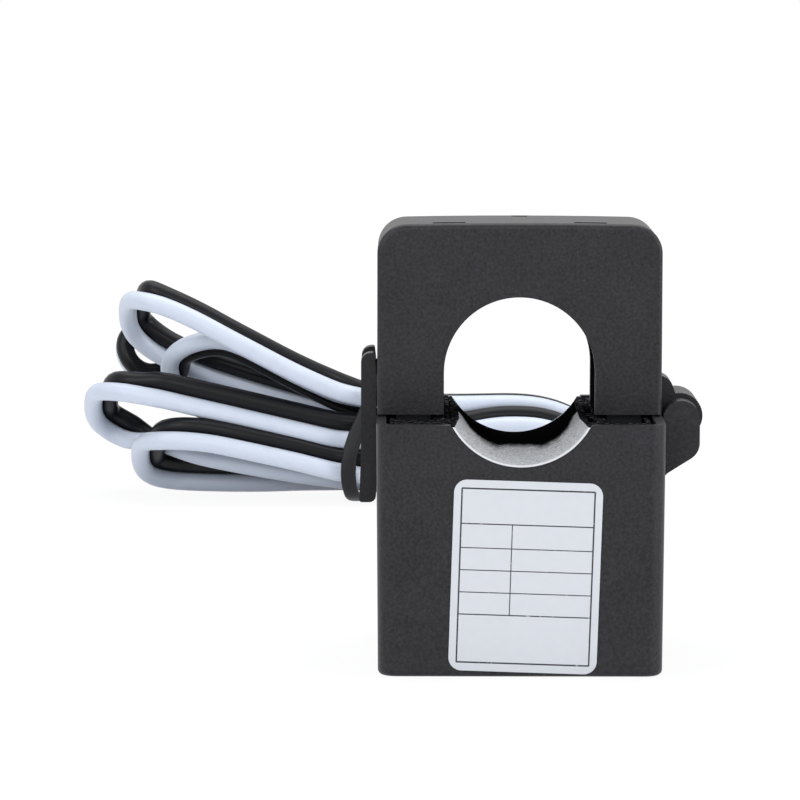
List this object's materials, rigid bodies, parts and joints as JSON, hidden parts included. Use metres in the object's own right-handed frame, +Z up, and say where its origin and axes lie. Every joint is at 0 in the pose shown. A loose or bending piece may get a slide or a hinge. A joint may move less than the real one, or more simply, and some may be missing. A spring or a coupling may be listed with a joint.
{
  "type": "split-core current transformer",
  "caption": "Clamp-on current transformer: cube base, hinged arch over a round window, side snap latch, two-wire lead in a tied hank.",
  "frame": {"origin": "centre of the flat base", "axes": "+Z up, -Y towards the label, +X towards the hinge"},
  "size_m": [0.078, 0.1556, 0.0482],
  "materials": {
    "housing": "fine moulded texture, charcoal",
    "saddle_gloss": "polished moulding, charcoal",
    "latch": "moulded, charcoal",
    "core_steel": "ground pole faces, coated sides",
    "former": "natural nylon",
    "copper_wire": "enamelled copper",
    "tape": "polyester tape",
    "board": "green solder mask",
    "diode": "moulded epoxy",
    "wire_white": "vinyl insulation",
    "wire_black": "vinyl insulation",
    "bush": "moulded rubber",
    "lead": "vinyl, one white and one black conductor",
    "tie": "black tie",
    "label": "white film",
    "pin_steel": "ground steel",
    "spring_steel": "spring steel"
  },
  "bodies": {
    "lower_half": {"lower_shell": "housing", "saddle_cover": "saddle_gloss", "lower_core": "core_steel", "coil_former_front": "former", "coil_former_rear": "former", "winding": "copper_wire", "winding_tape": "tape", "terminal_board": "board", "clamp_diode": "diode", "winding_start_wire": "copper_wire", "winding_finish_wire": "copper_wire", "lead_tail_white": "wire_white", "lead_tail_black": "wire_black", "strain_relief": "bush", "lead_cord": "lead", "lead_hank": "lead", "hank_tie": "tie", "rating_label": "label", "hinge_pin": "pin_steel"},
    "upper_half": {"upper_shell": "housing", "arch_liner": "saddle_gloss", "upper_core": "core_steel", "core_spring": "spring_steel"},
    "latch": {"latch_lever": "latch"}
  },
  "joints": [
    {"name": "lid_hinge", "type": "hinge", "parent": "lower_half", "child": "upper_half", "pos_m": [0.0177, 0, 0.02679], "axis": [0, 1, 0], "range_deg": [0, 110]},
    {"name": "latch_flex", "type": "hinge", "parent": "upper_half", "child": "latch", "pos_m": [-0.01495, 0, 0.03199], "axis": [0, 1, 0], "range_deg": [0, 8], "stiffness_Nm_per_rad": 0.05}
  ]
}
